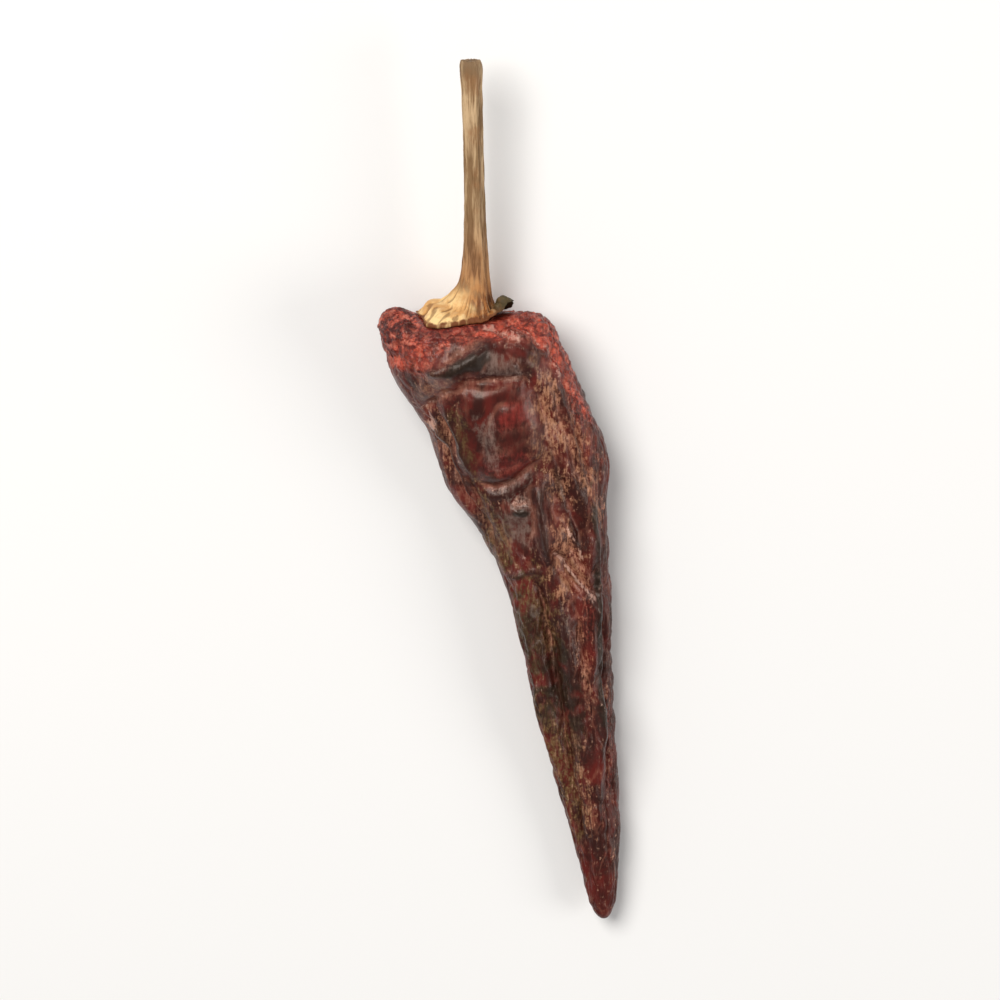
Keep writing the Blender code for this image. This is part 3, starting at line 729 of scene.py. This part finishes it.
def make_skin():
    """Dried chilli skin: waxy dark maroon with redder, tan and olive zones, grey zones of painted sheen,
    painted shade in its hollows and creases, and painted highlights on its crease tops.
    """
    skin = Finish("dried_chilli_skin")
    crest = skin.attribute("crest")
    fold = skin.attribute("fold")
    rim = skin.attribute("rim")
    dark = skin.attribute("dark")
    streaked = skin.node("VectorMath", {"operation": "MULTIPLY"}, {0: skin.place(), 1: (1.0, 0.3, 1.0)})
    threaded = skin.node("VectorMath", {"operation": "MULTIPLY"}, {0: skin.place(), 1: (1.0, 0.16, 1.0)})
    broad = skin.noise(110.0, 4.0, 0.6, 0.8)
    blotch = skin.noise(420.0, 4.0, 0.65, 0.5, streaked)
    mottle = skin.noise(1000.0, 4.0, 0.7, 0.3, streaked)
    thread = skin.noise(2400.0, 4.0, 0.7, 0.3, threaded)
    grain = skin.noise(1500.0, 5.0, 0.75, 0.4)
    fleck = skin.noise(520.0, 4.0, 0.6, 0.7)
    wrinkle = skin.node(
        "TexNoise",
        {"noise_type": "RIDGED_MULTIFRACTAL", "normalize": False},
        {
            "Vector": streaked,
            "Scale": 380.0,
            "Detail": 4.0,
            "Roughness": 0.55,
            "Distortion": 0.3,
            "Offset": 1.0,
        },
    )

    rough = 1.0 - 0.65 * skin.attribute("panel")
    broken = (1.6 * (thread - 0.5) + 1.4 * (grain - 0.5)) * rough + 0.8 * (mottle - 0.5)
    uneven = skin.between(broken, -0.2, 0.2)
    colour = skin.mixed(skin.between(broad + 0.4 * blotch, 0.58, 0.82), tint(50, 14, 10), tint(92, 23, 17))
    # Zones of tone: red, olive and tan are the skin's own, and grey is painted sheen
    for zone, low, high in (
        ("red", tint(90, 20, 17), tint(122, 37, 32)),
        ("grey", tint(88, 66, 58), tint(124, 101, 92)),
        ("olive", tint(60, 44, 22), tint(108, 82, 50)),
        ("tan", tint(138, 92, 68), tint(172, 122, 92)),
    ):
        tone = skin.mixed(uneven, low, high)
        zone_share = skin.between(0.85 * skin.attribute(zone) + 1.6 * broken, 0.25, 1.0) * 0.9
        colour = skin.mixed(zone_share, colour, tone)
    speck = skin.between(0.6 * grain + 0.7 * (fleck - 0.5) + 0.02 * crest, 0.24, 0.38)
    rim_tone = skin.mixed(speck, tint(92, 23, 19), tint(190, 77, 57))
    glint = skin.between(grain + fleck + 0.04 * crest, 1.07, 1.2) * 0.65
    rim_tone = skin.mixed(glint, rim_tone, tint(224, 142, 118))
    rim_tone = skin.mixed(skin.between(broad, 0.48, 0.58) * 0.5, rim_tone, tint(108, 32, 28))
    # Partly redder skin, partly painted glow and highlight on the thin rim
    flushed_and_glow = skin.attribute("flushed_and_glow") * (0.35 + 0.65 * speck) * 0.7
    rim_tone = skin.mixed(flushed_and_glow, rim_tone, tint(198, 76, 54))
    colour = skin.mixed(rim, colour, rim_tone)
    wine = skin.between(skin.attribute("wine"), 0.2, 1.0) * (1.0 - 0.6 * speck)
    colour = skin.mixed(wine, colour, tint(70, 20, 22))
    # Painted shade in the fine wrinkles' furrows, and painted highlights on their tops
    colour = skin.mixed(skin.between(wrinkle, 0.8, 0.35) * rough * 0.45, colour, tint(38, 12, 8))
    colour = skin.mixed(skin.between(wrinkle, 1.2, 1.7) * rough * 0.25, colour, tint(158, 100, 80))
    # Lighter on the crests: partly pale wear, partly painted highlight
    colour = skin.mixed(skin.between(crest, 0.25, 1.0) * 0.25, colour, tint(172, 112, 92))
    # Painted shade: darker where the surface sinks below its neighbours and in the deeper folds
    dip_shade = skin.between(0.0 - crest, 0.1, 1.0) * 0.3 + skin.between(0.0 - fold, 0.35, 1.0) * 0.3
    colour = skin.mixed(dip_shade, colour, tint(38, 12, 8))
    # Lighter on the raised fine folds, partly pale wear and partly painted highlight; darker in the fine
    # clefts, which is painted shade
    colour = skin.mixed(skin.attribute("ridge") * uneven * 0.35, colour, tint(186, 128, 106))
    colour = skin.mixed(skin.attribute("cleft") * 0.7, colour, tint(38, 13, 8))
    # Dark patches: partly darker skin, partly painted shade in hollows and creases
    colour = skin.mixed(skin.between(dark + 0.4 * broken, 0.2, 0.9) * 0.85, colour, tint(24, 16, 7))
    # Painted highlights: a pale pink tint along the glint lines
    painted_glint = skin.between(skin.attribute("painted_glint") + 1.6 * broken, 0.35, 1.0) * 0.6
    colour = skin.mixed(painted_glint, colour, tint(206, 164, 148))

    height = (wrinkle * 0.3 + mottle * 0.3 + thread * 0.5 + grain * (0.3 + 0.6 * rim)) * rough
    bump = skin.node("Bump", {}, {"Strength": 0.8, "Distance": 0.0003, "Height": height})
    skin.fill(
        skin.shader,
        {
            "Base Color": colour,
            "Roughness": 0.14 + 0.36 * blotch + 0.1 * dark,
            "IOR": 1.42,
            "Specular IOR Level": 0.5,
            "Specular Tint": (1.0, 0.8, 0.7, 1.0),
            "Coat Weight": 0.12,
            "Coat Roughness": 0.12,
            "Normal": bump,
        },
    )
    return skin.material


pod = bpy.data.objects.new("chilli_pod", pod_mesh)
bpy.context.scene.collection.objects.link(pod)
pod_mesh.materials.append(make_skin())
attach(pod, "root")
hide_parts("pod")

# Calyx and stalk
# The green cap and stem of the fruit, dried to a straw-coloured papery saucer with five blunt teeth and
# a woody, ribbed stalk. They are one piece, grown onto the pod's shoulder and cut off at the far end.
STALK_AROUND = 150
STALK_ALONG = 300
GAP = 0.3
CALYX_EDGE = 0.3
CALYX_UNDER = 0.14
CURL = 3.2
CURLED_AT = math.radians(18.0)
CURLED_WIDTH = math.radians(36.0)
CURL_RISES = (2.4, 5.0)
CURL_DROOPS = (5.0, 7.8)
PUFF = 2.2
PUFF_AT = math.radians(176.0)
PUFF_WIDTH = math.radians(55.0)
PUFF_RISES = (2.2, 4.6)
PUFF_ENDS = (0.78, 1.0)
CALYX_RIM = 0.05
STALK_OUTLINE = [
    (0.9, 6.2),
    (2.3, 4.5),
    (4.6, 3.4),
    (7.0, 2.75),
    (9.6, 2.35),
    (13.0, 2.05),
    (19.0, 1.82),
    (28.0, 1.68),
    (36.0, 1.7),
    (42.0, 1.78),
    (45.2, 1.95),
    (STALK_LENGTH, 1.7),
]
STALK_CUT = 0.05
SLIM_RIGHT = 0.55
SLIM_BEYOND = 2.1
STALK_TILT = math.radians(3.0)
STALK_LEAN = -0.9
STALK_RIBS = 5
STALK_RIB_HEIGHT = 0.16
FIBRE_HEIGHT = 0.3
FINE_FIBRE_HEIGHT = 0.12
VEIN_HEIGHT = 0.6
LUMP_HEIGHT = 0.3
FULL_GROOVE = 0.12


def shoulder_rise(x, height):
    """Height of the pod's smooth top beside the stalk's line."""
    half_width, half_depth = SECTION[0][1:3]
    # The section's middle shifts with its scale, so the scale is found by going round a few times
    scale = np.zeros(len(x))
    for _ in range(12):
        across = np.abs(x - MIDDLE[0][1] * scale) / half_width
        upward = np.abs(height) / half_depth
        scale = (across**SECTION_POWER + upward**SECTION_POWER) ** (1.0 / SECTION_POWER)
    steps = np.linspace(0.0, 1.0, 60)
    profile = np.interp(scale, along_table(SHOULDER, 1, steps), along_table(SHOULDER, 2, steps))
    return profile + lobe_rise(x, height)


stalk_mesh, share, angle = globe("chilli_stalk", STALK_AROUND, STALK_ALONG)
under = np.clip(share / CALYX_UNDER, 0.0, 1.0)
over = np.clip((share - CALYX_UNDER) / (1.0 - CALYX_UNDER), 0.0, 1.0)
outline = [
    (CALYX_RIM + (1.0 - CALYX_RIM - STALK_CUT) * n / (len(STALK_OUTLINE) - 1), *row)
    for n, row in enumerate(STALK_OUTLINE)
]
narrowing = np.maximum(over, CALYX_RIM)
radius = along_table(outline, 2, narrowing)
length = along_table(outline, 1, narrowing)
cut = smooth_step(1.0, 1.0 - STALK_CUT, over)
radius -= SLIM_RIGHT * np.maximum(np.cos(angle), 0.0) * np.maximum(radius - SLIM_BEYOND, 0.0)
radius = np.where(over > CALYX_RIM, radius * cut, radius)
rim = np.clip(over / CALYX_RIM, 0.0, 1.0)
round_way = np.stack([np.cos(angle), np.sin(angle), 0 * angle], axis=1)
edge = calyx_edge(angle)
edge += 0.5 * noise_at(round_way * 3.0, 1.0, 4.0)
edge += 0.3 * noise_at(round_way * 11.0, 1.0, 8.0)
radius = np.where(over < CALYX_RIM, edge + (radius - edge) * rim**2, radius)
radius = np.where(share < CALYX_UNDER, under * edge, radius)

# One tooth on the right has curled up off the pod, and the left side is puffed up
x, height = radius * np.cos(angle), radius * np.sin(angle)
curl = np.exp(-((turned_from(angle, CURLED_AT) / CURLED_WIDTH) ** 2)) * smooth_step(*CURL_RISES, radius)
curl *= 1.0 - 0.5 * smooth_step(*CURL_DROOPS, radius)
seat = shoulder_rise(x, height) + GAP + CURL * curl
puff = PUFF * np.exp(-((turned_from(angle, PUFF_AT) / PUFF_WIDTH) ** 2))
puff *= smooth_step(*PUFF_RISES, radius) * (1.0 - smooth_step(*PUFF_ENDS, radius / edge))
top = np.maximum(length, seat + CALYX_EDGE) + puff
y = np.where(over < CALYX_RIM, seat + (top - seat) * np.sqrt(rim), top)
y = np.where(share < CALYX_UNDER, seat, y)
up = np.maximum(y, 0.0)
x = x + STALK_LEAN * (up / STALK_LENGTH) ** 1.5
z = SECTION[0][3] + SECTION[0][2] + height + up * math.tan(STALK_TILT)
smooth_stalk = np.stack([x, y, z], axis=1)
write_points(stalk_mesh, smooth_stalk)
outward = read_normals(stalk_mesh)

on_stalk = smooth_step(1.5, 6.0, y)
ribs = STALK_RIB_HEIGHT * np.cos(STALK_RIBS * angle + 0.6) * smooth_step(0.0, 3.0, length)
ribs *= smooth_step(STALK_LENGTH + 1.0, STALK_LENGTH - 4.0, y)
fibre_place = np.stack([np.cos(angle) * 6.0, np.sin(angle) * 6.0, y / 9.0], axis=1)
fibres = 0.5 - np.abs(noise_at(fibre_place, 1.0, 6.0))
fine_fibres = 0.5 - np.abs(noise_at(fibre_place * [2.6, 2.6, 1.8], 1.0, 12.0))
veins_place = np.stack([np.cos(angle) * 4.5, np.sin(angle) * 4.5, radius / 5.0], axis=1)
veins = 0.5 - np.abs(noise_at(veins_place, 1.0, 17.0))
fine_veins = 0.5 - np.abs(noise_at(veins_place * [2.4, 2.4, 1.6], 1.0, 23.0))
lumps = noise_at(smooth_stalk, 2.2, 20.0)
relief = ribs + FIBRE_HEIGHT * on_stalk * (fibres - 0.3) + FINE_FIBRE_HEIGHT * fine_fibres
on_calyx = VEIN_HEIGHT * (veins - 0.3) + VEIN_HEIGHT * (fine_veins - 0.3) + LUMP_HEIGHT * lumps
relief += (1.0 - on_stalk) * on_calyx + 0.07 * lumps
relief *= np.where(share < CALYX_UNDER, 0.0, smooth_step(0.0, 0.5, rim)) * (0.3 + 0.7 * cut)
points = smooth_stalk + outward * relief[:, None]
write_points(stalk_mesh, (points - ORIGIN) * MM)
stalk_mesh.shade_smooth()

groove = relief - blurred(relief, share, angle, STALK_AROUND, STALK_ALONG, NEAR_POINTS)
set_attribute(stalk_mesh, "groove", np.clip(groove / FULL_GROOVE, -1.0, 1.0))
cap = 1.0 - smooth_step(2.0, 8.0, y + 1.5 * lumps)
set_attribute(stalk_mesh, "calyx", cap)
set_attribute(stalk_mesh, "straw", cap * smooth_step(0.6, -3.4, x + 1.6 * lumps - 0.3 * y))
green = np.maximum(smooth_step(3.4, 5.4, x + 0.8 * lumps), smooth_step(0.1, 0.7, curl))
set_attribute(stalk_mesh, "green", green)
margin = 1.0 - smooth_step(0.0, 0.9, edge - radius + 0.5 * lumps)
set_attribute(stalk_mesh, "margin", np.where(share < CALYX_UNDER, 1.0, margin))
set_attribute(stalk_mesh, "height", np.clip(y / STALK_LENGTH, 0.0, 1.0))
set_attribute(stalk_mesh, "cut_end", np.where(share > 0.5, 1.0 - cut, 0.0))


def make_wood():
    """Dry stalk and calyx: grey-brown ribs on tan wood, paling to straw where they spread on the pod, with
    painted shade in their grooves and painted highlights on their ribs.
    """
    wood = Finish("dry_chilli_stalk")
    groove = wood.attribute("groove")
    calyx = wood.attribute("calyx")
    height = wood.attribute("height")
    stretched = wood.node("VectorMath", {"operation": "MULTIPLY"}, {0: wood.place(), 1: (1.0, 0.12, 1.0)})
    streak = wood.noise(900.0, 4.0, 0.6, 0.3, stretched)
    blotch = wood.noise(240.0, 4.0, 0.6)
    grain = wood.noise(2200.0, 2.0, 0.6, 0.0, stretched)

    colour = wood.mixed(wood.between(streak, 0.4, 0.62), tint(128, 98, 64), tint(194, 164, 126))
    colour = wood.mixed(wood.between(blotch, 0.5, 0.7) * 0.5, colour, tint(150, 104, 64))
    low = wood.between(height, 0.5, 0.1)
    orange = wood.mixed(wood.between(streak, 0.4, 0.6), tint(104, 62, 28), tint(164, 112, 64))
    colour = wood.mixed(low * 0.9, colour, orange)
    russet = wood.mixed(wood.between(streak, 0.42, 0.58), tint(108, 58, 24), tint(166, 106, 54))
    colour = wood.mixed(calyx, colour, russet)
    browner = wood.between(blotch + 0.4 * (streak - 0.5), 0.38, 0.64)
    straw = wood.mixed(browner, tint(243, 206, 144), tint(208, 156, 96))
    colour = wood.mixed(wood.attribute("straw"), colour, straw)
    # Painted shade in the grooves and painted highlights on the ribs' tops
    colour = wood.mixed(wood.between(0.0 - groove, 0.1, 1.0) * 0.6, colour, tint(98, 60, 30))
    colour = wood.mixed(wood.between(groove, 0.2, 1.0) * 0.22, colour, tint(234, 204, 158))
    margin = wood.between(wood.attribute("margin") + 2.0 * (streak - 0.5), 0.3, 1.0)
    colour = wood.mixed(margin, colour, tint(112, 62, 28))
    colour = wood.mixed(wood.attribute("green") * (0.6 + 0.6 * blotch), colour, tint(58, 54, 28))
    colour = wood.mixed(wood.between(height, 0.9, 1.0) * 0.5, colour, tint(118, 96, 72))
    colour = wood.mixed(wood.attribute("cut_end"), colour, tint(120, 92, 64))

    bump = wood.node("Bump", {}, {"Strength": 0.6, "Distance": 0.0003, "Height": streak * 0.7 + grain * 0.4})
    wood.fill(
        wood.shader,
        {"Base Color": colour, "Roughness": 0.62 + 0.15 * streak, "Specular IOR Level": 0.35, "Normal": bump},
    )
    return wood.material


stalk = bpy.data.objects.new("chilli_stalk", stalk_mesh)
bpy.context.scene.collection.objects.link(stalk)
stalk_mesh.materials.append(make_wood())
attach(stalk, "root")
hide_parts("stalk")

# Table
# A plain pale surface under the chilli, wide enough to fill every view.
floor_shape = bmesh.new()
bmesh.ops.create_circle(floor_shape, cap_ends=True, segments=96, radius=3.0)
floor_mesh = bpy.data.meshes.new("table_top")
floor_shape.to_mesh(floor_mesh)
floor_shape.free()
floor = bpy.data.objects.new("table_top", floor_mesh)
bpy.context.scene.collection.objects.link(floor)
paper = Finish("pale_table")
paper.fill(paper.shader, {"Base Color": (0.84, 0.84, 0.84, 1.0), "Roughness": 0.7, "Specular IOR Level": 0.2})
floor_mesh.materials.append(paper.material)


# Light
# Soft studio light: a large lamp from beyond the stalk on the left, a weaker one from the right, and an
# even pale surround.
def add_lamp(name, place, size, power):
    light = bpy.data.lights.new(name, "AREA")
    light.shape = "DISK"
    light.size = size
    light.energy = power
    light.color = (1.0, 0.97, 0.93)
    lamp = bpy.data.objects.new(name, light)
    lamp.location = place
    lamp.rotation_euler = (-Vector(place)).to_track_quat("-Z", "Y").to_euler()
    bpy.context.scene.collection.objects.link(lamp)


add_lamp("key_light", (-0.4, 0.5, 0.95), 0.7, 12.5)
add_lamp("fill_light", (0.8, -0.1, 0.5), 0.5, 3.1)
world = bpy.data.worlds.new("pale_surround")
world.use_nodes = True
world.node_tree.nodes["Background"].inputs["Color"].default_value = (1.0, 1.0, 1.0, 1.0)
world.node_tree.nodes["Background"].inputs["Strength"].default_value = 0.3
bpy.context.scene.world = world
bpy.context.scene.view_settings.view_transform = "Standard"

# Camera
# It looks down on the chilli from as far towards the stalk as the photograph's does above it.
CAMERA_DISTANCE = 1.3
FRAME_WIDTH = 0.18
camera_data = bpy.data.cameras.new("camera")
camera_data.lens = camera_data.sensor_width * CAMERA_DISTANCE / FRAME_WIDTH
camera_data.clip_end = 20.0
camera = bpy.data.objects.new("camera", camera_data)
aim = Vector((0.0, 0.0, cad_box[1][2] / 2.0))
camera.location = aim + CAMERA_DISTANCE * Vector((0.0, math.sin(VIEW_TILT), math.cos(VIEW_TILT)))
camera.rotation_euler = (-VIEW_TILT, 0.0, 0.0)
bpy.context.scene.collection.objects.link(camera)
bpy.context.scene.camera = camera
